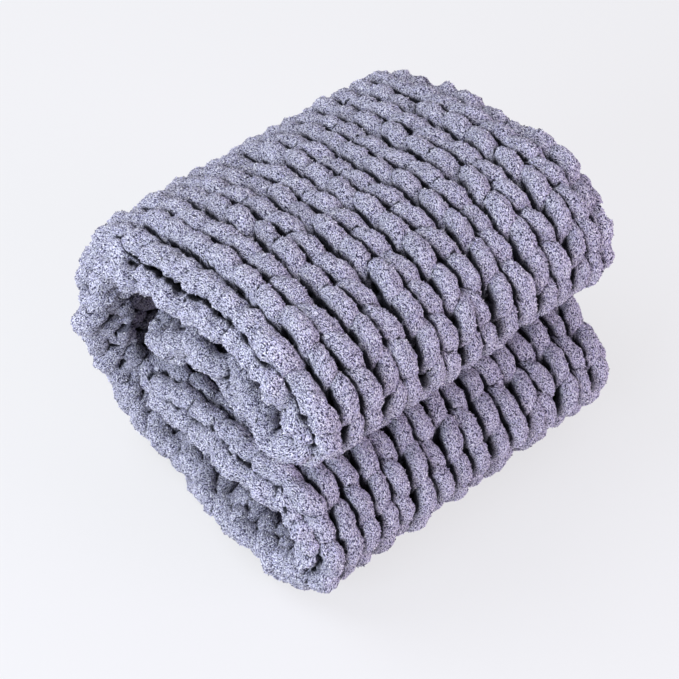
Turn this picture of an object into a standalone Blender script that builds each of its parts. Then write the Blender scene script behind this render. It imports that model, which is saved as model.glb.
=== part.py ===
# A chunky knit blanket, folded into a stack of four layers and standing on the table by itself.
# It is one knitted piece: the layers, the two folds at the front and the bend at the back follow on
# from one another, so the whole blanket is one closed solid.
# Metres, +Z up, +X along the folds, -Y towards the two front folds, +Y towards the back bend.
# The origin is at the middle of the stack's footprint, on the table.
import math

import bmesh
import bpy
import numpy as np

# Driving dimensions
LENGTH = 0.380  # from selvedge to selvedge, along the folds
HALF_THICK = 0.030  # half the thickness of the knitted cloth, crest to crest
WALES = 8  # columns of V stitches from selvedge to selvedge
ROW = 0.031  # height of one row of stitches
ROPE = LENGTH / (2 * WALES)  # width of one leg of the V
GROOVE = 0.0095  # depth of the groove between two legs
STITCH_DIPS = (0.0060, 0.0, 0.0008)  # depths under the crest at the points along one leg
SLANT = 0.80  # rows by which a leg climbs across its own width
LEG_POINTS = 3  # strips across one leg
SELVEDGE_BAND = 0.055  # width of the band at each side edge that leans towards the purl face
SIDE_ANGLES = (24, 52, 88, 132)  # degrees round the rounded side edge where the face has points
SIDE_RELIEF = 0.35  # least share of the stitches' relief on the rounded side edge
END_ANGLES = (35, 75)  # degrees round the rounded cast-on and bind-off edges
END_REACH = 0.8  # how far those edges reach, in half thicknesses
CORNER_REACH = 0.3  # share of that reach at the blanket's four corners
HIDDEN_STEP = 0.055  # spacing of points along the layers that nothing shows
PURL_STRIPS = 6  # strips across the plain purl face
PURL_EVERY = 4  # points of the knit face for each point of the purl face, where the stitches show
NUDGE = 0.02  # part of a span over which the route's direction is measured

# Route of the cloth's middle through the stack, from the bind-off edge inside the lower fold to the
# cast-on edge inside the upper one, in millimetres, at the left and at the right end.
# lean: how far the selvedges lean towards the purl face. left in, right in: how far they are drawn in.
# shown: 1 where the knit face has its stitches from this place on, 0 where other layers or the table hide it.
ROUTE = (
    # place, left y, left z, right y, right z, lean, left in, right in, shown
    ("lower inner edge", 84, 115, 80, 113, 0, 9, 7, 0),
    ("lower inner back", 44, 114, 42, 112, 0, 8, 6, 0),
    ("lower inner middle", -10, 116, -10, 114, 0, 5, 4, 0),
    ("lower inner front", -66, 121, -66, 119, 0, 3, 3, 0),
    ("lower fold top", -118, 121, -117, 120, 2, 2, 2, 1),
    ("lower fold nose", -154, 77, -155, 75, 2, 0, 0, 1),
    ("lower fold foot", -122, 31, -122, 30, 4, 4, 2, 0),
    ("bottom front", -66, 28, -66, 28, 10, 8, 4, 0),
    ("bottom middle", 0, 28, 0, 28, 10, 12, 5, 0),
    ("bottom back", 70, 28, 70, 28, 12, 16, 6, 0),
    ("bend foot", 121, 43, 120, 42, 22, 16, 6, 1),
    ("bend low", 150, 86, 149, 84, 26, 10, 4, 1),
    ("bend back", 155, 140, 154, 138, 24, 3, 2, 1),
    ("bend high", 145, 202, 146, 200, 20, 0, 0, 1),
    ("bend shoulder", 112, 256, 114, 254, 17, 0, 0, 1),
    ("top back", 58, 284, 58, 281, 15, 0, 0, 1),
    ("top middle", -10, 293, -10, 290, 15, 0, 1, 1),
    ("top front", -72, 290, -72, 288, 15, 0, 2, 1),
    ("upper fold top", -124, 271, -122, 269, 3, 0, 2, 1),
    ("upper fold nose", -154, 232, -151, 230, 0, 0, 1, 1),
    ("upper fold foot", -122, 194, -120, 193, 0, 2, 2, 0),
    ("upper inner front", -66, 195, -66, 194, 0, 3, 3, 0),
    ("upper inner middle", -10, 199, -10, 197, 0, 4, 4, 0),
    ("upper inner back", 38, 200, 36, 198, 0, 6, 5, 0),
    ("upper inner edge", 74, 199, 70, 197, 0, 8, 6, 0),
)

# Broad lumps of a soft stack: height in millimetres, waves along the folds, metres of route for a
# wave, and phase in radians.
LUMPS = (
    # height, waves, route, phase
    (2.0, 1.7, 0.34, 0.4),
    (1.4, 3.3, 0.20, 2.1),
    (1.0, 5.9, 0.12, 4.0),
)

YARN = {"name": "chenille yarn", "colour": (0.28, 0.27, 0.35), "roughness": 0.95}


def clear_scene():
    for item in list(bpy.data.objects):
        bpy.data.objects.remove(item, do_unlink=True)


def make_material(look):
    material = bpy.data.materials.new(look["name"])
    material.use_nodes = True
    shader = material.node_tree.nodes["Principled BSDF"]
    shader.inputs["Base Color"].default_value = (*look["colour"], 1.0)
    shader.inputs["Roughness"].default_value = look["roughness"]
    shader.inputs["Metallic"].default_value = 0.0
    return material


def smooth_value(values, along):
    # Value at a place on the smooth curve through all the values; along counts them from the first.
    span = min(max(int(along), 0), len(values) - 2)
    t = along - span
    start, end = values[span], values[span + 1]
    before = values[span - 1] if span > 0 else 2 * start - end
    after = values[span + 2] if span + 2 < len(values) else 2 * end - start
    return (
        start * (2 * t**3 - 3 * t**2 + 1)
        + (end - before) / 2 * (t**3 - 2 * t**2 + t)
        + end * (3 * t**2 - 2 * t**3)
        + (after - start) / 2 * (t**3 - t**2)
    )


def places_at(x):
    # The route's places in the section at x, in metres, eased from the left end's to the right end's.
    share = min(max(x / LENGTH + 0.5, 0.0), 1.0)
    share = share * share * (3 - 2 * share)
    left = np.array([row[1:3] for row in ROUTE], dtype=float)
    right = np.array([row[3:5] for row in ROUTE], dtype=float)
    return (left + (right - left) * share) / 1000


def route_lengths(steps=24):
    # Distance along the middle section's route, at even shares of each span.
    places = places_at(0.0)
    along = np.linspace(0, len(places) - 1, (len(places) - 1) * steps + 1)
    points = np.array([smooth_value(places, value) for value in along])
    hops = np.linalg.norm(np.diff(points, axis=0), axis=1)
    return along, np.concatenate([[0.0], np.cumsum(hops)])


ALONG, DISTANCE = route_lengths()
LEAN = np.array([row[5] for row in ROUTE], dtype=float) / 1000
DRAWN_IN = {-1: np.array([row[6] for row in ROUTE]) / 1000, 1: np.array([row[7] for row in ROUTE]) / 1000}


def stations():
    # Where the knit face has points along the route: the distance, and the point's number along its
    # leg, or None where the stitches are hidden.
    found = []
    leg_point = 0
    for span, row in enumerate(ROUTE[:-1]):
        start, end = np.interp([span, span + 1], ALONG, DISTANCE)
        shown = row[8] > 0
        step = ROW / len(STITCH_DIPS) if shown else HIDDEN_STEP
        count = max(1, round((end - start) / step))
        for index in range(count):
            distance = start + (end - start) * index / count
            found.append((distance, leg_point % len(STITCH_DIPS) if shown else None))
            leg_point += 1
    found.append((DISTANCE[-1], None))
    return found


def face_columns():
    # The knit face's points across the cloth: x, and the share of the half thickness there.
    half = LENGTH / 2
    strips = (2 * WALES - 2) * LEG_POINTS
    flat = [(-half + ROPE + index * ROPE / LEG_POINTS, 1.0) for index in range(strips + 1)]
    turns = [math.radians(angle) for angle in SIDE_ANGLES]
    side = [(half - ROPE + ROPE * math.sin(turn), math.cos(turn)) for turn in turns]
    return [(-x, share) for x, share in reversed(side)] + flat + side


def across_leg(x):
    # The leg's number from the left selvedge, and the place across it from -0.5 to 0.5.
    legs = (x + LENGTH / 2) / ROPE
    number = min(max(int(legs + 1e-6), 0), 2 * WALES - 1)
    return number, legs - number - 0.5


def stitch_depth(x, leg_point):
    # Depth under the crests of the V stitches: grooves between the legs, dips between the rows.
    number, across = across_leg(x)
    groove = GROOVE * min(1.0, abs(2 * across)) ** 2.4
    return max(groove, 0.6 * groove + STITCH_DIPS[leg_point])


def stitch_shift(x):
    # How far along the route the V's rows are shifted at x: a zigzag, one leg up and the next down.
    number, across = across_leg(x)
    return SLANT * ROW * (across if number % 2 else -across)


def lump_height(x, distance):
    return sum(
        height / 1000 * math.sin(math.tau * waves * x / LENGTH + phase) * math.sin(math.tau * distance / route + phase)
        for height, waves, route, phase in LUMPS
    )


def cloth_point(x, distance, offset, ahead=0.0):
    # A point at an offset from the cloth's middle, positive on the knit side, and a reach ahead.
    along = float(np.interp(distance, DISTANCE, ALONG))
    places = places_at(x)
    middle = smooth_value(places, along)
    onward = smooth_value(places, min(along + NUDGE, len(places) - 1.0))
    direction = onward - smooth_value(places, max(along - NUDGE, 0.0))
    direction /= np.linalg.norm(direction)
    band = max(0.0, (abs(x) - (LENGTH / 2 - SELVEDGE_BAND)) / SELVEDGE_BAND)
    offset -= smooth_value(LEAN, along) * band**2
    side = 1 if x > 0 else -1
    y = middle[0] + direction[1] * offset + direction[0] * ahead
    z = middle[1] - direction[0] * offset + direction[1] * ahead
    return (x - side * smooth_value(DRAWN_IN[side], along) * band, y, max(z, 0.0))


def ease_from_hidden(found, index):
    # 0 where the stitches are hidden, rising to 1 a whole row of stitches away from there.
    reach = len(STITCH_DIPS)
    near = range(max(index - reach, 0), min(index + reach + 1, len(found)))
    return min((abs(index - other) for other in near if found[other][1] is None), default=reach) / reach


def knit_face(found):
    # Rows of points of the knit face, the rounded cast-on and bind-off edges included.
    columns = face_columns()
    turns = [math.radians(angle) for angle in END_ANGLES]
    rows = [raw_edge_row(columns, found[0][0], turn, -1) for turn in reversed(turns)]
    for index, (distance, leg_point) in enumerate(found):
        ease = ease_from_hidden(found, index)
        row = []
        for x, share in columns:
            offset = HALF_THICK * share
            if leg_point is not None:
                relief = lump_height(x, distance) - stitch_depth(x, leg_point)
                offset += relief * max(share, SIDE_RELIEF)
            shift = ease * max(share, 0.0) * stitch_shift(x)
            row.append(cloth_point(x, distance + shift, offset))
        rows.append(row)
    return rows + [raw_edge_row(columns, found[-1][0], turn, 1) for turn in turns]


def raw_edge_row(columns, distance, turn, way):
    # The edge is rounded towards the selvedges as well, so its corners are soft.
    reach = way * END_REACH * HALF_THICK * math.sin(turn)
    row = []
    for x, share in columns:
        corner = CORNER_REACH + (1 - CORNER_REACH) * max(share, 0.0)
        offset = HALF_THICK * share * (math.cos(turn) if share > 0 else 1.0)
        row.append(cloth_point(x, distance, offset, reach * corner))
    return row


def purl_face(found):
    # Rows of points of the plain inner face, fewer than the knit face has.
    kept = []
    for index, (distance, leg_point) in enumerate(found):
        if leg_point is None or found[index - 1][1] is None or index % PURL_EVERY == 0:
            kept.append(distance)
    half = LENGTH / 2 - ROPE
    xs = np.linspace(-half, half, PURL_STRIPS + 1)
    return [[cloth_point(x, distance, -HALF_THICK) for x in xs] for distance in kept]


def grid_faces(mesh, rows, flipped):
    vertices = [[mesh.verts.new(point) for point in row] for row in rows]
    for upper, lower in zip(vertices, vertices[1:]):
        for column in range(len(upper) - 1):
            corners = [upper[column], upper[column + 1], lower[column + 1], lower[column]]
            if flipped:
                corners.reverse()
            mesh.faces.new(corners)
    return vertices


def bridge(mesh, fine, coarse):
    # Triangles between two chains of vertices that run the same way, the shorter step first.
    i, j = 0, 0
    while i < len(fine) - 1 or j < len(coarse) - 1:
        step_fine = j == len(coarse) - 1
        if i < len(fine) - 1 and j < len(coarse) - 1:
            reach_fine = (fine[i + 1].co - coarse[j].co).length
            reach_coarse = (coarse[j + 1].co - fine[i].co).length
            step_fine = reach_fine <= reach_coarse
        if step_fine:
            mesh.faces.new([fine[i], fine[i + 1], coarse[j]])
            i += 1
        else:
            mesh.faces.new([fine[i], coarse[j + 1], coarse[j]])
            j += 1


def make_blanket():
    found = stations()
    mesh = bmesh.new()
    knit = grid_faces(mesh, knit_face(found), False)
    purl = grid_faces(mesh, purl_face(found), True)
    bridge(mesh, [row[0] for row in knit], [row[0] for row in purl])
    bridge(mesh, [row[-1] for row in knit], [row[-1] for row in purl])
    bridge(mesh, knit[0], purl[0])
    bridge(mesh, knit[-1], purl[-1])
    bmesh.ops.recalc_face_normals(mesh, faces=mesh.faces)
    bmesh.ops.triangulate(mesh, faces=mesh.faces)
    data = bpy.data.meshes.new("blanket")
    mesh.to_mesh(data)
    mesh.free()
    data.shade_smooth()
    data.materials.append(make_material(YARN))
    blanket = bpy.data.objects.new("blanket", data)
    bpy.context.collection.objects.link(blanket)


clear_scene()
make_blanket()
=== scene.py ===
import math

import bpy
import numpy as np
from mathutils import Matrix, Vector


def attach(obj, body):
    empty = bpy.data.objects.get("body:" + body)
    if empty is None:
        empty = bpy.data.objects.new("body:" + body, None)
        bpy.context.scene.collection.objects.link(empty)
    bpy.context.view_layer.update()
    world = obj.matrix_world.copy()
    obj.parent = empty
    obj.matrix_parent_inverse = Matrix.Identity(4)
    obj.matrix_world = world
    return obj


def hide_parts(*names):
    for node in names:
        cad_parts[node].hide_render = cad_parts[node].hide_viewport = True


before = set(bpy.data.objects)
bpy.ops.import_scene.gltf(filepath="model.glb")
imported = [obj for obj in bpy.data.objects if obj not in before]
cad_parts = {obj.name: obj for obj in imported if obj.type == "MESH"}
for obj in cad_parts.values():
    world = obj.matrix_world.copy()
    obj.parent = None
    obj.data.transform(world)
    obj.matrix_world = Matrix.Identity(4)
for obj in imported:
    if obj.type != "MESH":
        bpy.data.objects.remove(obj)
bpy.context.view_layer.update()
print("frame loaded, one blanket node to dress")

mm = 0.001


def srgb(hexValue):
    value = hexValue.lstrip("#")
    parts = [int(value[i:i + 2], 16) / 255 for i in (0, 2, 4)]
    return tuple(c / 12.92 if c <= 0.04045 else ((c + 0.055) / 1.055) ** 2.4 for c in parts) + (1.0,)


# settings such as inScale or in1 set an input of the node, the others a property
def addNode(tree, kind, links=None, **settings):
    node = tree.nodes.new(kind)
    for name, value in settings.items():
        if name.startswith("in") and not name[2].islower():
            key = name[2:]
            node.inputs[int(key) if key.isdigit() else key].default_value = value
        else:
            setattr(node, name, value)
    for socket, source in (links or {}).items():
        tree.links.new(source, node.inputs[socket])
    return node


# Nearly the route of folds of the CAD source, in mm, from the edge hidden in the lower half to the edge
# hidden in the upper half, which hangs up to 21 mm lower here at the left end. Each line holds left
# end y and z, right end y and z, how far the side edges lean inwards, how far the left and the right
# end are drawn in, the core that the side edge rolls round, and how far from the middle the roll reaches.
route = np.array([
    (84, 115, 80, 113, -6, 9, 7, 13, 190),
    (44, 114, 42, 112, -10, 8, 6, 13, 192),
    (-10, 116, -10, 114, -12, 5, 4, 13, 194),
    (-66, 121, -66, 119, -6, 0, 0, 13, 196),
    (-118, 121, -117, 120, 2, 1, 0, 12, 196),
    (-154, 76, -157, 74, 2, 4, -2, 10, 196),
    (-121, 31, -124, 30, 4, 4, 0, 12, 196),
    (-66, 28, -66, 28, 10, 1, 2, 13, 196),
    (0, 28, 0, 28, 10, 9, 4, 13, 195),
    (70, 28, 70, 28, 12, 22, 6, 13, 194),
    (121, 43, 120, 42, 22, 23, 6, 13, 195),
    (150, 86, 149, 84, 26, 18, 4, 14, 196),
    (155, 140, 154, 138, 24, 8, 2, 13, 197),
    (145, 202, 146, 200, 18, 5, 0, 12, 197),
    (114, 258, 116, 257, 14, 4, -2, 12, 196),
    (58, 284, 58, 281, 20, 2, -1, 15, 194),
    (-10, 293, -10, 290, 18, 0, -2, 16, 193),
    (-72, 290, -72, 288, 14, 0, -3, 15, 193),
    (-124, 271, -122, 269, 3, 0, 2, 13, 193),
    (-154, 232, -151, 230, 0, 0, 10, 10, 193),
    (-122, 194, -120, 193, 0, 2, 5, 14, 193),
    (-66, 200, -66, 194, 8, 2, 5, 18, 192),
    (-10, 208, -10, 197, 14, 3, 6, 19, 192),
    (38, 194, 36, 198, -4, 8, 8, 12, 190),
    (74, 178, 70, 197, -22, 10, 9, 8, 190),
], dtype=float) * mm

# in metres, or shares
cloth = {
    "length": 0.380,            # along the folds, from one end of the stack to the other
    "edgeBand": 0.055,          # where the ends lean and are drawn in
    "leanShare": 0.7,           # of the lean in the route
    "evenLevel": 0.008,         # rows are evenly spaced this far outside the middle of the cloth
    "pastEnd": 0.040,           # one place of the route beyond its first and last point
    "leastCore": 0.002,         # of a rolled edge
    "curlTightness": 0.005,     # draws the stitches of the curled edges together
    "curlThickness": 0.13,      # and fills them out by this share
    "endStart": 0.1875,         # the ends of the stack are pressed level from here out
    "endReach": 0.0070,         # and come this much further at most
    "routeSamples": 4001,
}


def smoothBetween(p0, p1, p2, p3, t):
    m1, m2 = (p2 - p0) / 2, (p3 - p1) / 2
    return ((2 * t**3 - 3 * t**2 + 1) * p1 + (t**3 - 2 * t**2 + t) * m1
            + (-2 * t**3 + 3 * t**2) * p2 + (t**3 - t**2) * m2)


def eased(share):
    return share * share * (3 - 2 * share)


def alongRoute(column, place):
    last = len(column) - 1
    padded = np.concatenate(([2 * column[0] - column[1]], column, [2 * column[-1] - column[-2]]))
    start = np.clip(np.floor(place).astype(int), 0, last - 1)
    return smoothBetween(*(padded[start + i] for i in range(4)), place - start)


def sectionAt(place, across):
    share = eased(np.clip(across / cloth["length"] + 0.5, 0, 1))
    y = alongRoute(route[:, 0], place) * (1 - share) + alongRoute(route[:, 2], place) * share
    z = alongRoute(route[:, 1], place) * (1 - share) + alongRoute(route[:, 3], place) * share
    return y, z


def evenRoute():
    place = np.linspace(0, len(route) - 1, cloth["routeSamples"])
    y, z = sectionAt(place, np.zeros_like(place))
    dy, dz = np.gradient(y), np.gradient(z)
    size = np.hypot(dy, dz)
    y, z = y + dz / size * cloth["evenLevel"], z - dy / size * cloth["evenLevel"]
    steps = np.hypot(np.diff(y), np.diff(z))
    return np.concatenate(([0], np.cumsum(steps))), place


evenDistance, evenPlace = evenRoute()
routeLength = evenDistance[-1]


# from across, along and out of the flat cloth to the folded stack
def onCloth(across, along, out):
    place = np.interp(along, evenDistance, evenPlace)
    place = np.where(along > routeLength, len(route) - 1 + (along - routeLength) / cloth["pastEnd"], place)
    place = np.where(along < 0, along / cloth["pastEnd"], place)
    side = np.sign(across)
    # the side edge curls round its core
    core = alongRoute(route[:, 7], place)
    rollStart = alongRoute(route[:, 8], place) - core - stitch["legLevel"] - stitch["yarnRadius"]
    beyond = np.maximum(np.abs(across) - rollStart, 0)
    angle = beyond / (core + stitch["legLevel"] + cloth["curlTightness"])
    reach = np.maximum(core + out, cloth["leastCore"])
    rolled = beyond > 0
    x = np.where(rolled, side * (rollStart + reach * np.sin(angle)), across)
    level = np.where(rolled, reach * np.cos(angle) - core, out)
    # the ends are drawn in, pressed level and lean
    band = np.clip((np.abs(across) - cloth["length"] / 2 + cloth["edgeBand"]) / cloth["edgeBand"], 0, 1)
    drawn = np.where(across < 0, alongRoute(route[:, 5], place), alongRoute(route[:, 6], place))
    x = x - side * drawn * band
    far = np.maximum(np.abs(x) - cloth["endStart"], 0)
    pressed = side * (cloth["endStart"] + cloth["endReach"] * np.tanh(far / cloth["endReach"]))
    x = np.where(far > 0, pressed, x)
    level = level - alongRoute(route[:, 4], place) * band**2 * cloth["leanShare"]
    y, z = sectionAt(place, across)
    nearby = 0.01       # of one place, gives the direction of the fold
    y2, z2 = sectionAt(place + nearby, across)
    y1, z1 = sectionAt(place - nearby, across)
    size = np.hypot(y2 - y1, z2 - z1)
    dy, dz = (y2 - y1) / size, (z2 - z1) / size
    return np.stack((x, y + dz * level, z - dy * level), axis=-1)


# stockinette, in metres apart from halfLoop
stitch = {
    "wales": 9,                 # stitches across; the outer ones are in the curled edges
    "waleWidth": 0.0462,
    "rowPitch": 0.031,
    "halfHeight": 0.028,        # from the middle of the last row to the end of its stitches
    "edgeGap": 0.004,           # and on to the finished edge
    "endMargin": 0.016,         # of the route that stays free of rows
    "legLevel": 0.012,          # how high the legs stand on the middle of the cloth
    "yarnRadius": 0.0099,
    "edgeYarn": 0.92,           # thickness of the finished edges, as a share
    "edgeTwist": (0.004, 0.006),    # how far they wind along and out of the cloth
    "outerBand": (0.150, 0.030),    # where the curled edges start, and how soon they are full
    "lastBand": (0.170, 0.020),     # the same for their last stitches
    "edgeKnobs": 0.13,          # how much the last stitches swell and narrow
    "knobSpacing": 1.35,        # in points of the loop
    "turnReach": 0.009,         # where the yarn turns into the next row
    "turnThickness": 0.9,
    "seed": 11,
    # half a stitch in mm, from the loop between two stitches up the left leg to the top:
    # across, along the column, out of the cloth, yarn thickness
    "halfLoop": [
        (0.0, -26.0, -10.5, 0.92),
        (12.0, -23.5, -3.5, 0.78),
        (14.9, -18.0, 11.2, 0.86),
        (13.5, -8.5, 15.5, 1.00),
        (11.3, 4.0, 14.2, 1.03),
        (9.5, 15.5, 5.0, 0.91),
        (9.8, 23.7, -5.0, 0.77),
        (23.1, 28.0, -12.5, 0.92),
    ],
}

# how far the legs of the stitches stray, as standard deviations
stray = {
    "unevenness": 1.0,          # 0 knits every stitch alike
    "looseShare": 0.12,         # of the legs are pulled out of line
    "looseBy": 1.0,             # this much further than the others
    "turn": 0.07,               # radians
    "across": 0.0010,
    "along": 0.0018,
    "out": 0.0013,
    "outMost": 0.0015,
    "thickness": 0.045,         # share
    # what the curled edges add, and then their last stitches
    "outerOut": 0.0018,
    "outerAlong": 0.0020,
    "lastOut": 0.0032,
    "lastAlong": 0.0042,
    "lastAcross": 0.0028,
    # slow waves of the columns: height, turns along and across, start
    "wave": (0.0022, 17, 9, 0.0),
    "ripple": (0.0014, 41, 23, 1.7),
}

halfLoop = np.array(stitch["halfLoop"])
halfLoop[:, :3] *= mm
mirrored = halfLoop[6:0:-1].copy()
mirrored[:, 0] = stitch["waleWidth"] - mirrored[:, 0]
loopPoints = np.concatenate((halfLoop, mirrored))   # one whole stitch
loopCount = len(loopPoints)


def loopAt(place):
    start = np.floor(place).astype(int)

    def point(i):
        value = loopPoints[i % loopCount].copy()
        value[:, 0] += (i // loopCount) * stitch["waleWidth"]
        return value
    return smoothBetween(*(point(start + i) for i in (-1, 0, 1, 2)), (place - start)[:, None])


def waved(u, q, wave):
    height, turnsAlong, turnsAcross, start = wave
    return height * np.sin(q * turnsAlong + start + u * turnsAcross)


# one row of stitches: u across, q along and w out of the flat cloth
def courseLine(row, fine):
    s = stitch
    rng = np.random.default_rng(s["seed"] * 1000 + row)
    steps = [2, 4, 4, 4, 4, 4, 2] if fine else [1, 3, 3, 3, 3, 3, 1]
    one = np.concatenate([i + np.arange(n) / n for i, n in enumerate(steps + steps[::-1])])
    place = np.concatenate([one + loopCount * j for j in range(s["wales"])]
                           + [np.array([float(loopCount * s["wales"])])])
    legs = 2 * s["wales"]
    legPlace = place / (loopCount / 2) + 0.5
    loose = rng.random(legs + 2) < stray["looseShare"]

    def strayBy(size):
        values = rng.normal(0, size * stray["unevenness"], legs + 2) * (1 + stray["looseBy"] * loose)
        base = np.clip(np.floor(legPlace).astype(int), 0, legs)
        share = eased(np.clip(legPlace - base, 0, 1))
        return values[base] * (1 - share) + values[base + 1] * share

    loop = loopAt(place)
    turn = strayBy(stray["turn"])
    u = -s["wales"] * s["waleWidth"] / 2 + loop[:, 0] + turn * loop[:, 1] + strayBy(stray["across"])
    q = firstRow + row * s["rowPitch"] + loop[:, 1] + strayBy(stray["along"])
    w = loop[:, 2] + np.minimum(strayBy(stray["out"]), stray["outMost"])
    u = u + waved(u, q, stray["wave"]) + waved(u, q, stray["ripple"])
    outer = np.clip((np.abs(u) - s["outerBand"][0]) / s["outerBand"][1], 0, 1)
    last = np.clip((np.abs(u) - s["lastBand"][0]) / s["lastBand"][1], 0, 1)
    radius = s["yarnRadius"] * (loop[:, 3] + strayBy(stray["thickness"])) * (1 + cloth["curlThickness"] * outer)
    w = w + outer * strayBy(stray["outerOut"]) + last * strayBy(stray["lastOut"])
    q = q + outer * strayBy(stray["outerAlong"]) + last * strayBy(stray["lastAlong"])
    u = u + last * strayBy(stray["lastAcross"])
    radius = radius * (1 + s["edgeKnobs"] * last * np.sin(place * 2 * math.pi / s["knobSpacing"] + row))
    # the yarn turns into the next row at one end and comes from the one before at the other
    up = 1 if row % 2 == 0 else -1
    hook = np.array([0.35, 0.75, 1.0])
    outward = s["turnReach"] * np.sin(hook * math.pi / 2)
    onward = up * s["rowPitch"] / 2 * hook
    u = np.concatenate(((u[0] - outward)[::-1], u, u[-1] + outward))
    q = np.concatenate(((q[0] - onward)[::-1], q, q[-1] + onward))
    w = np.pad(w, len(hook), mode="edge")
    thin = np.full(len(hook), s["turnThickness"])
    radius = np.concatenate((thin * radius[0], radius, thin * radius[-1]))
    return onCloth(u, q, w), radius


# the finished first and last edge, wound once through each stitch
def edgeLine(along, turn):
    s = stitch
    t = np.linspace(0, s["wales"] * 2 * math.pi, s["wales"] * 16 + 1)
    u = -s["wales"] * s["waleWidth"] / 2 + s["waleWidth"] * t / (2 * math.pi)
    q = along + turn * s["edgeTwist"][0] * np.cos(t * 2)
    w = s["edgeTwist"][1] * np.sin(t * 2)
    return onCloth(u, q, w), np.full(len(t), s["yarnRadius"] * s["edgeYarn"])


rowCount = int((routeLength - stitch["endMargin"]) / stitch["rowPitch"])
firstRow = (routeLength - (rowCount - 1) * stitch["rowPitch"]) / 2
print("cloth", round(routeLength, 4), "m of knitting,", rowCount, "rows")


# Chenille is short plush pile on a thick soft yarn. It gives the eye a matt surface without gloss, speckled with
# light fibre tips and dark pits, which are painted highlight and painted shade; painted shade turns it nearly
# black between the strands.
chenille = {
    "yarn": "#C9C4E3",
    "pit": "#28233B",           # painted shade between the fibres
    "tip": "#FDFAFF",           # painted highlight on the fibres that catch the light
    "patchTint": (0.86, 0.86, 0.88, 1),
    "pitAt": 0.20,              # share of the grain's height
    "yarnAt": 0.31,
    "tipAt": 0.47,
    "roughness": 0.95,
    "specular": 0.15,
    "sheen": 0.20,
    "sheenRoughness": 0.5,
    "sheenTint": "#D9D8EA",
    # sizes in mm; real fibres are far finer than a pixel, so the grain is drawn coarser than real
    "fibreSize": 0.88,
    "tuftSize": 1.4,
    "tuftShare": 0.35,
    "crumpleSize": 6.0,
    "patchSize": 100 / 9,
    "grainDepth": 3.5,
    "crumpleDepth": 5.0,
    "crumpleStrength": 0.8,
    # share of short rays that meet other strands, where the painted shade between the strands starts and is full,
    # and its colour
    "creviceFrom": 0.12,
    "creviceTo": 0.56,
    "creviceTint": "#181522",
}


def chenilleMaterial():
    material = bpy.data.materials.new("chenille yarn")
    material.use_nodes = True
    tree = material.node_tree
    tree.nodes.clear()
    c = chenille
    space = addNode(tree, "ShaderNodeAttribute", attribute_name="yarnSpace").outputs["Vector"]
    tufts = addNode(tree, "ShaderNodeTexVoronoi", {"Vector": space}, feature="F1",
                    inScale=1000 / c["tuftSize"], inRandomness=1.0)
    fibres = addNode(tree, "ShaderNodeTexNoise", {"Vector": space},
                     inScale=1000 / c["fibreSize"], inDetail=1.0, inRoughness=0.6)
    tuftShare = addNode(tree, "ShaderNodeMath", {0: tufts.outputs["Distance"]},
                        operation="MULTIPLY", in1=c["tuftShare"])
    grain = addNode(tree, "ShaderNodeMath", {0: fibres.outputs["Fac"], 1: tuftShare.outputs[0]},
                    operation="SUBTRACT")
    patches = addNode(tree, "ShaderNodeTexNoise", {"Vector": space},
                      inScale=1000 / c["patchSize"], inDetail=2.0, inRoughness=0.5)
    # the pile's grain in colour: painted shade in its low pits, the yarn's own colour between, painted highlight
    # on its high tips
    ramp = addNode(tree, "ShaderNodeValToRGB", {0: grain.outputs[0]})
    ramp.color_ramp.elements[0].position = c["pitAt"]
    ramp.color_ramp.elements[0].color = srgb(c["pit"])
    ramp.color_ramp.elements[1].position = c["tipAt"]
    ramp.color_ramp.elements[1].color = srgb(c["tip"])
    middle = ramp.color_ramp.elements.new(c["yarnAt"])
    middle.color = srgb(c["yarn"])
    tint = addNode(tree, "ShaderNodeMix", {0: patches.outputs["Fac"]},
                   data_type="RGBA", blend_type="MULTIPLY", in7=c["patchTint"])
    tree.links.new(ramp.outputs["Color"], tint.inputs[6])
    # painted shade: the colour darkens where the yarn is closed in by other strands
    crevice = addNode(tree, "ShaderNodeAttribute", attribute_name="crevice")
    paintedShadeShare = addNode(tree, "ShaderNodeMapRange", {"Value": crevice.outputs["Fac"]},
                   in1=c["creviceFrom"], in2=c["creviceTo"], interpolation_type="SMOOTHSTEP")
    colourWithPaintedShade = addNode(tree, "ShaderNodeMix", {0: paintedShadeShare.outputs[0], 6: tint.outputs[2]},
                   data_type="RGBA", blend_type="MULTIPLY", in7=srgb(c["creviceTint"]))
    crumple = addNode(tree, "ShaderNodeTexNoise", {"Vector": space},
                      inScale=1000 / c["crumpleSize"], inDetail=1.0, inRoughness=0.5)
    crumpled = addNode(tree, "ShaderNodeBump", {"Height": crumple.outputs["Fac"]},
                       inStrength=c["crumpleStrength"], inDistance=c["crumpleDepth"] * mm)
    bump = addNode(tree, "ShaderNodeBump", {"Height": grain.outputs[0], "Normal": crumpled.outputs["Normal"]},
                   inStrength=1.0, inDistance=c["grainDepth"] * mm)
    shader = addNode(tree, "ShaderNodeBsdfPrincipled",
                     {"Base Color": colourWithPaintedShade.outputs[2], "Normal": bump.outputs["Normal"]},
                     inRoughness=c["roughness"])
    shader.inputs["Specular IOR Level"].default_value = c["specular"]
    shader.inputs["Sheen Weight"].default_value = c["sheen"]
    shader.inputs["Sheen Roughness"].default_value = c["sheenRoughness"]
    shader.inputs["Sheen Tint"].default_value = srgb(c["sheenTint"])
    addNode(tree, "ShaderNodeOutputMaterial", {"Surface": shader.outputs[0]})
    return material


yarnMaterial = chenilleMaterial()

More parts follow.
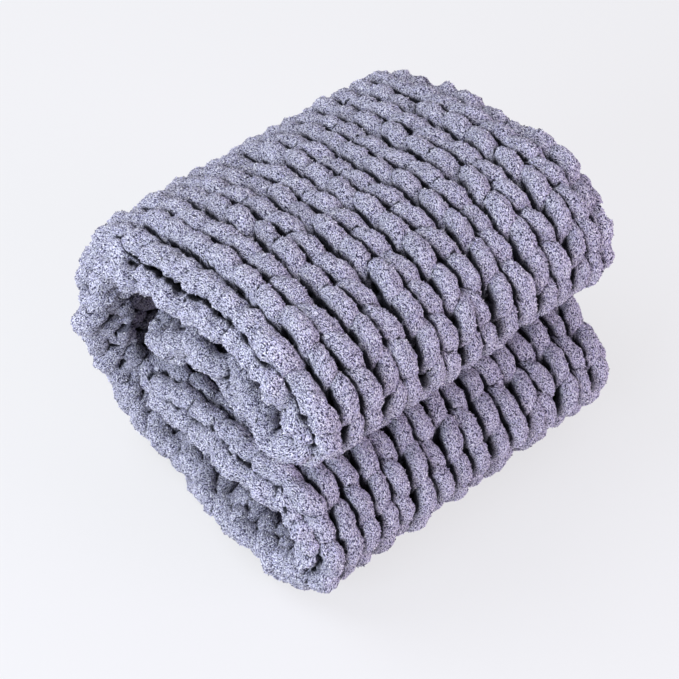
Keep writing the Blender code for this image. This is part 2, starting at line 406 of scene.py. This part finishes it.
# the body of the yarn and its standing pile, in metres
sweep = {
    "sides": 18,                # of the yarn where it shows
    "plainSides": 12,           # where it is hidden
    "coarseSides": 9,           # in the copy that the short rays are tested on
    "lumpHeight": 0.0011,
    "lumpSize": 0.010,
    "faceLumps": 4.0,           # times the lump height on the face of the cloth
    "edgeLumps": 11.0,          # and at the curled edges, which are knobblier
    "edgeFrom": 0.150,
    "edgeTo": 0.185,
    "pileHeight": 0.0009,
    "pileTimes": 4.0,           # the noise that is scaled by the pile's height is weak
    "pileSize": 0.0045,
    "windRadius": 0.012,        # the pattern of the pile is wound round this
    "creviceReach": 0.022,      # length of the short rays
    "rayLift": 0.0022,          # their start above the yarn
    "tuftsPerSquareMetre": 52000,
    "tuftHeight": 0.0019,       # thicker than real fibres, so that they show in the outline
    "tuftWidth": 0.0009,
    "tuftSink": 0.0005,
    "tuftLean": (0.9, 0.9, 3.1),
    "tuftScale": (0.6, 1.35),
    "tuftFloor": 0.0055,        # no tufts below this height
    "openFrom": 0.12,           # tufts get fewer where the yarn is closed in
    "openTo": 0.45,
    "seed": 5,
    "rays": [(0, 0, 0), (0.9, 0, 0), (-0.9, 0, 0), (0, 0.9, 0), (0, -0.9, 0), (0, 0, 0.9), (0, 0, -0.9),
             (0.6, 0.6, 0.3), (-0.6, 0.6, 0.3), (0.6, -0.6, 0.3), (-0.6, -0.6, 0.3)],
}


def sweepTree():
    tree = bpy.data.node_groups.new("yarn sweep", "GeometryNodeTree")
    face = tree.interface
    face.new_socket("Centre lines", in_out="INPUT", socket_type="NodeSocketGeometry")
    for name, kind, value in (("Sides", "NodeSocketInt", sweep["sides"]),
                              ("Lump height", "NodeSocketFloat", sweep["lumpHeight"]),
                              ("Lump size", "NodeSocketFloat", sweep["lumpSize"]),
                              ("Pile height", "NodeSocketFloat", sweep["pileHeight"]),
                              ("Pile size", "NodeSocketFloat", sweep["pileSize"]),
                              ("Tufts per m2", "NodeSocketFloat", 0.0),
                              ("Tuft height", "NodeSocketFloat", sweep["tuftHeight"]),
                              ("Tuft width", "NodeSocketFloat", sweep["tuftWidth"]),
                              ("Seed", "NodeSocketInt", sweep["seed"]),
                              ("Reach", "NodeSocketFloat", sweep["creviceReach"])):
        face.new_socket(name, in_out="INPUT", socket_type=kind).default_value = value
    face.new_socket("Whole blanket", in_out="INPUT", socket_type="NodeSocketObject")
    face.new_socket("Yarn", in_out="OUTPUT", socket_type="NodeSocketGeometry")
    start = addNode(tree, "NodeGroupInput")

    # a tube of the yarn's thickness along each centre line
    line = addNode(tree, "GeometryNodeMeshToCurve", {0: start.outputs["Centre lines"]})
    spline = addNode(tree, "GeometryNodeSplineParameter")
    store = addNode(tree, "GeometryNodeStoreNamedAttribute", {0: line.outputs[0], 3: spline.outputs["Length"]},
                    data_type="FLOAT", domain="POINT", inName="yarnLength")
    ring = addNode(tree, "GeometryNodeCurvePrimitiveCircle", {"Resolution": start.outputs["Sides"]}, inRadius=1.0)
    ringSpline = addNode(tree, "GeometryNodeSplineParameter")
    ringStore = addNode(tree, "GeometryNodeStoreNamedAttribute",
                        {0: ring.outputs[0], 3: ringSpline.outputs["Factor"]},
                        data_type="FLOAT", domain="POINT", inName="yarnTurn")
    thick = addNode(tree, "GeometryNodeInputNamedAttribute", data_type="FLOAT", inName="yarnRadius")
    tube = addNode(tree, "GeometryNodeCurveToMesh",
                   {"Curve": store.outputs[0], "Profile Curve": ringStore.outputs[0], "Scale": thick.outputs[0]})
    tube.inputs["Fill Caps"].default_value = True

    # lengthways and round the yarn, so that the pile follows it
    lengthIn = addNode(tree, "GeometryNodeInputNamedAttribute", data_type="FLOAT", inName="yarnLength")
    turnIn = addNode(tree, "GeometryNodeInputNamedAttribute", data_type="FLOAT", inName="yarnTurn")
    angle = addNode(tree, "ShaderNodeMath", {0: turnIn.outputs[0]}, operation="MULTIPLY", in1=2 * math.pi)
    cosine = addNode(tree, "ShaderNodeMath", {0: angle.outputs[0]}, operation="COSINE")
    sine = addNode(tree, "ShaderNodeMath", {0: angle.outputs[0]}, operation="SINE")
    cosRadius = addNode(tree, "ShaderNodeMath", {0: cosine.outputs[0]},
                        operation="MULTIPLY", in1=sweep["windRadius"])
    sinRadius = addNode(tree, "ShaderNodeMath", {0: sine.outputs[0]},
                        operation="MULTIPLY", in1=sweep["windRadius"])
    space = addNode(tree, "ShaderNodeCombineXYZ",
                    {0: lengthIn.outputs[0], 1: cosRadius.outputs[0], 2: sinRadius.outputs[0]})
    spaceStore = addNode(tree, "GeometryNodeStoreNamedAttribute", {0: tube.outputs[0], 3: space.outputs[0]},
                         data_type="FLOAT_VECTOR", domain="POINT", inName="yarnSpace")

    # slow lumps and the pile's own unevenness
    normal = addNode(tree, "GeometryNodeInputNormal")
    position = addNode(tree, "GeometryNodeInputPosition")
    lumpScale = addNode(tree, "ShaderNodeMath", {1: start.outputs["Lump size"]}, operation="DIVIDE", in0=1.0)
    lump = addNode(tree, "ShaderNodeTexNoise",
                   {"Vector": position.outputs[0], "Scale": lumpScale.outputs[0]}, inDetail=1.0)
    lumpCentred = addNode(tree, "ShaderNodeMath", {0: lump.outputs[0]}, operation="SUBTRACT", in1=0.5)
    where = addNode(tree, "ShaderNodeSeparateXYZ", {0: position.outputs[0]})
    fromMiddle = addNode(tree, "ShaderNodeMath", {0: where.outputs[0]}, operation="ABSOLUTE")
    knobbly = addNode(tree, "ShaderNodeMapRange", {"Value": fromMiddle.outputs[0]},
                      in1=sweep["edgeFrom"], in2=sweep["edgeTo"], in3=sweep["faceLumps"], in4=sweep["edgeLumps"])
    lumpHeight = addNode(tree, "ShaderNodeMath", {0: start.outputs["Lump height"], 1: knobbly.outputs[0]},
                         operation="MULTIPLY")
    lumpOut = addNode(tree, "ShaderNodeMath", {0: lumpCentred.outputs[0], 1: lumpHeight.outputs[0]},
                      operation="MULTIPLY")
    pileScale = addNode(tree, "ShaderNodeMath", {1: start.outputs["Pile size"]}, operation="DIVIDE", in0=1.0)
    pile = addNode(tree, "ShaderNodeTexNoise",
                   {"Vector": position.outputs[0], "Scale": pileScale.outputs[0]}, inDetail=0.0)
    pileCentred = addNode(tree, "ShaderNodeMath", {0: pile.outputs[0]}, operation="SUBTRACT", in1=0.5)
    pileHeight = addNode(tree, "ShaderNodeMath", {0: start.outputs["Pile height"]},
                         operation="MULTIPLY", in1=sweep["pileTimes"])
    pileOut = addNode(tree, "ShaderNodeMath", {0: pileCentred.outputs[0], 1: pileHeight.outputs[0]},
                      operation="MULTIPLY")
    both = addNode(tree, "ShaderNodeMath", {0: lumpOut.outputs[0], 1: pileOut.outputs[0]}, operation="ADD")
    shift = addNode(tree, "ShaderNodeVectorMath", {0: normal.outputs[0], "Scale": both.outputs[0]},
                    operation="SCALE")
    moved = addNode(tree, "GeometryNodeSetPosition", {0: spaceStore.outputs[0], "Offset": shift.outputs[0]})

    # the yarn lies flat where it touches the surface it rests on
    here = addNode(tree, "GeometryNodeInputPosition")
    split = addNode(tree, "ShaderNodeSeparateXYZ", {0: here.outputs[0]})
    lowest = addNode(tree, "ShaderNodeMath", {0: split.outputs[2]}, operation="MAXIMUM", in1=0.0)
    joined = addNode(tree, "ShaderNodeCombineXYZ",
                     {0: split.outputs[0], 1: split.outputs[1], 2: lowest.outputs[0]})
    rested = addNode(tree, "GeometryNodeSetPosition", {0: moved.outputs[0], "Position": joined.outputs[0]})

    # how closed in each point is: short rays that meet other strands on their way out; this thins the pile and is
    # stored as the mask of the painted shade between the strands
    whole = addNode(tree, "GeometryNodeObjectInfo", {"Object": start.outputs["Whole blanket"]},
                    transform_space="RELATIVE")
    out = addNode(tree, "GeometryNodeInputNormal")
    point = addNode(tree, "GeometryNodeInputPosition")
    lift = addNode(tree, "ShaderNodeVectorMath", {0: out.outputs[0]}, operation="SCALE", inScale=sweep["rayLift"])
    origin = addNode(tree, "ShaderNodeVectorMath", {0: point.outputs[0], 1: lift.outputs[0]}, operation="ADD")
    total = None
    for turned in sweep["rays"]:
        leaned = addNode(tree, "ShaderNodeVectorMath", {0: out.outputs[0]}, operation="ADD", in1=turned)
        aim = addNode(tree, "ShaderNodeVectorMath", {0: leaned.outputs[0]}, operation="NORMALIZE")
        ray = addNode(tree, "GeometryNodeRaycast",
                      {"Target Geometry": whole.outputs["Geometry"], "Source Position": origin.outputs[0],
                       "Ray Direction": aim.outputs[0], "Ray Length": start.outputs["Reach"]})
        share = addNode(tree, "ShaderNodeMath", {0: ray.outputs["Hit Distance"], 1: start.outputs["Reach"]},
                        operation="DIVIDE")
        near = addNode(tree, "ShaderNodeMath", {1: share.outputs[0]}, operation="SUBTRACT", in0=1.0)
        hit = addNode(tree, "ShaderNodeMath", {0: near.outputs[0], 1: ray.outputs["Is Hit"]},
                      operation="MULTIPLY")
        if total is None:
            total = hit
        else:
            total = addNode(tree, "ShaderNodeMath", {0: total.outputs[0], 1: hit.outputs[0]}, operation="ADD")
    closed = addNode(tree, "ShaderNodeMath", {0: total.outputs[0]},
                     operation="DIVIDE", in1=float(len(sweep["rays"])))
    # stored as the mask of the painted shade between the strands
    closedStore = addNode(tree, "GeometryNodeStoreNamedAttribute", {0: rested.outputs[0], 3: closed.outputs[0]},
                          data_type="FLOAT", domain="POINT", inName="crevice")

    # pile that stands out of the yarn, on the strands that can be seen
    openShare = addNode(tree, "ShaderNodeMapRange", {"Value": closed.outputs[0]},
                        in1=sweep["openFrom"], in2=sweep["openTo"], in3=1.0, in4=0.0)
    density = addNode(tree, "ShaderNodeMath", {0: openShare.outputs[0], 1: start.outputs["Tufts per m2"]},
                      operation="MULTIPLY")
    aboveFloor = addNode(tree, "FunctionNodeCompare", {0: split.outputs[2]},
                         operation="GREATER_THAN", in1=sweep["tuftFloor"])
    tuftPoints = addNode(tree, "GeometryNodeDistributePointsOnFaces",
                         {"Mesh": closedStore.outputs[0], "Selection": aboveFloor.outputs[0],
                          "Density": density.outputs[0], "Seed": start.outputs["Seed"]},
                         distribute_method="RANDOM")
    tuft = addNode(tree, "GeometryNodeMeshCone",
                   {"Radius Bottom": start.outputs["Tuft width"], "Depth": start.outputs["Tuft height"]},
                   inVertices=3)
    tuft.inputs["Radius Top"].default_value = 0.0
    sunk = addNode(tree, "GeometryNodeTransform", {"Geometry": tuft.outputs["Mesh"]},
                   inTranslation=(0, 0, -sweep["tuftSink"]))
    lean = addNode(tree, "FunctionNodeRandomValue", {"Seed": start.outputs["Seed"]}, data_type="FLOAT_VECTOR",
                   in0=tuple(-part for part in sweep["tuftLean"]), in1=sweep["tuftLean"])
    leanTurn = addNode(tree, "FunctionNodeEulerToRotation", {0: lean.outputs[0]})
    leaning = addNode(tree, "FunctionNodeRotateRotation",
                      {0: tuftPoints.outputs["Rotation"], 1: leanTurn.outputs[0]}, rotation_space="LOCAL")
    size = addNode(tree, "FunctionNodeRandomValue", {"Seed": start.outputs["Seed"]}, data_type="FLOAT",
                   in2=sweep["tuftScale"][0], in3=sweep["tuftScale"][1])
    tufted = addNode(tree, "GeometryNodeInstanceOnPoints",
                     {"Points": tuftPoints.outputs["Points"], "Instance": sunk.outputs[0],
                      "Rotation": leaning.outputs[0], "Scale": size.outputs[1]})
    together = addNode(tree, "GeometryNodeJoinGeometry", {0: closedStore.outputs[0]})
    tree.links.new(tufted.outputs[0], together.inputs[0])
    smooth = addNode(tree, "GeometryNodeSetShadeSmooth", {0: together.outputs[0]})
    real = addNode(tree, "GeometryNodeRealizeInstances", {0: smooth.outputs[0]})
    finish = addNode(tree, "GeometryNodeSetMaterial", {0: real.outputs[0]}, inMaterial=yarnMaterial)
    addNode(tree, "NodeGroupOutput", {0: finish.outputs[0]})
    return tree


yarnSweep = sweepTree()


def sweptPiece(name, lines, sides, whole=None, tufts=0.0):
    points, edges, radii = [], [], []
    count = 0
    for centre, radius in lines:
        n = len(centre)
        points.append(centre)
        radii.append(radius)
        edges.append(np.stack((np.arange(n - 1), np.arange(1, n)), axis=1) + count)
        count += n
    points, edges, radii = np.concatenate(points), np.concatenate(edges), np.concatenate(radii)
    mesh = bpy.data.meshes.new(name)
    mesh.from_pydata(points.tolist(), edges.tolist(), [])
    attribute = mesh.attributes.new("yarnRadius", "FLOAT", "POINT")
    attribute.data.foreach_set("value", radii.astype(np.float32))
    piece = bpy.data.objects.new(name, mesh)
    bpy.context.scene.collection.objects.link(piece)
    modifier = piece.modifiers.new("yarn sweep", "NODES")
    modifier.node_group = yarnSweep
    settings = {"Sides": sides, "Whole blanket": whole, "Tufts per m2": float(tufts), "Seed": len(name)}
    for item in yarnSweep.interface.items_tree:
        if item.in_out == "INPUT" and item.name in settings:
            modifier[item.identifier] = settings[item.name]
    graph = bpy.context.evaluated_depsgraph_get()
    solid = bpy.data.meshes.new_from_object(piece.evaluated_get(graph), preserve_all_data_layers=True,
                                            depsgraph=graph)
    piece.modifiers.clear()
    piece.data = solid
    solid.name = name
    for spare in ("yarnRadius", "yarnLength", "yarnTurn"):
        if spare in solid.attributes:
            solid.attributes.remove(solid.attributes[spare])
    solid.calc_loop_triangles()
    print(name, len(lines), "rows,", len(solid.loop_triangles), "triangles")
    return piece


# where each part of the folded cloth starts and ends, as places on the route, and whether it shows
parts = {
    "lower_inner_layer": (0, 3.3, False),
    "lower_front_fold": (3.3, 6.6, True),
    "bottom_layer": (6.6, 9.8, False),
    "lower_back_bend": (9.8, 12.0, True),
    "upper_back_bend": (12.0, 14.2, True),
    "top_layer": (14.2, 17.2, True),
    "upper_front_fold": (17.2, 20.6, True),
    "upper_inner_layer": (20.6, 25, False),
}

lastRow = firstRow + (rowCount - 1) * stitch["rowPitch"]
toEdge = stitch["halfHeight"] + stitch["edgeGap"]
rowPlaces = np.interp(firstRow + np.arange(rowCount) * stitch["rowPitch"], evenDistance, evenPlace)
coarseLines = [courseLine(r, False) for r in range(rowCount)]
coarseBlanket = sweptPiece("coarse_blanket", coarseLines, sweep["coarseSides"])
for name, (first, last, fine) in parts.items():
    rows = [r for r in range(rowCount) if first <= rowPlaces[r] < last]
    lines = [courseLine(r, fine) for r in rows]
    if 0 in rows:
        lines.append(edgeLine(firstRow - toEdge, 1))
    if rowCount - 1 in rows:
        lines.append(edgeLine(lastRow + toEdge, -1))
    sides = sweep["sides"] if fine else sweep["plainSides"]
    piece = sweptPiece(name, lines, sides, coarseBlanket, sweep["tuftsPerSquareMetre"])
    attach(piece, "root")
    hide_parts("blanket")
bpy.data.objects.remove(coarseBlanket)

stage = {
    "floor": "#77767A",
    "floorGlow": 0.672,         # keeps the pale floor pale in the soft light
    "floorHalf": 6,
    "world": "#FAFAFF",
    "worldStrength": 0.57,
    # place, width, power in watts and colour
    "window light": ((-1.0, 1.2, 2.4), 2.0, 42.0, "#EEF5FF"),
    "left light": ((-2.6, -0.3, 1.1), 1.8, 66.0, "#E2F1FF"),
    "front light": ((0.9, -2.5, 0.8), 1.8, 42.0, "#F7DFFF"),
    "lightsAim": (0, 0, 0.12),
}


# matt paper gives the eye an even pale ground with a soft shadow and no reflection
def floorMaterial():
    material = bpy.data.materials.new("matt white paper")
    material.use_nodes = True
    shader = material.node_tree.nodes["Principled BSDF"]
    shader.inputs["Base Color"].default_value = srgb(stage["floor"])
    shader.inputs["Roughness"].default_value = 0.9
    shader.inputs["Specular IOR Level"].default_value = 0.1
    shader.inputs["Emission Color"].default_value = (1, 1, 1, 1)
    shader.inputs["Emission Strength"].default_value = stage["floorGlow"]
    return material


h = stage["floorHalf"]
floorMesh = bpy.data.meshes.new("floor")
floorMesh.from_pydata([(-h, -h, 0), (h, -h, 0), (h, h, 0), (-h, h, 0)], [], [(0, 1, 2, 3)])
floor = bpy.data.objects.new("floor", floorMesh)
floorMesh.materials.append(floorMaterial())
bpy.context.scene.collection.objects.link(floor)


def softLight(name, place, size, power, colour):
    data = bpy.data.lights.new(name, "AREA")
    data.shape = "DISK"
    data.size = size
    data.energy = power
    data.color = srgb(colour)[:3]
    light = bpy.data.objects.new(name, data)
    light.location = place
    light.rotation_euler = (Vector(stage["lightsAim"]) - Vector(place)).to_track_quat("-Z", "Y").to_euler()
    bpy.context.scene.collection.objects.link(light)


for name in ("window light", "left light", "front light"):
    softLight(name, *stage[name])

world = bpy.data.worlds.new("studio")
bpy.context.scene.world = world
world.use_nodes = True
world.node_tree.nodes["Background"].inputs["Color"].default_value = srgb(stage["world"])
world.node_tree.nodes["Background"].inputs["Strength"].default_value = stage["worldStrength"]
bpy.context.scene.view_settings.view_transform = "Standard"
print("floor and three soft lights set")

view = {
    "turn": -43.17,             # degrees from the front, to the left
    "height": 43.10,            # degrees
    "aim": (-0.0059, -0.0009, 0.12),
    "distance": 1.7482,
    "sensor": 36,
    "lens": 1856.4 * 36 / 679,  # from pixels of the 679 pixel picture
}


def makeCamera():
    turn, height = math.radians(view["turn"]), math.radians(view["height"])
    back = Vector((math.sin(turn) * math.cos(height), -math.cos(turn) * math.cos(height), math.sin(height)))
    right = Vector((math.cos(turn), math.sin(turn), 0))
    up = back.cross(right)
    data = bpy.data.cameras.new("camera")
    data.lens = view["lens"]
    data.sensor_width = view["sensor"]
    data.clip_end = 50
    camera = bpy.data.objects.new("camera", data)
    place = Vector(view["aim"]) + back * view["distance"]
    camera.matrix_world = Matrix.Translation(place) @ Matrix((right, up, back)).transposed().to_4x4()
    bpy.context.scene.collection.objects.link(camera)
    bpy.context.scene.camera = camera


makeCamera()
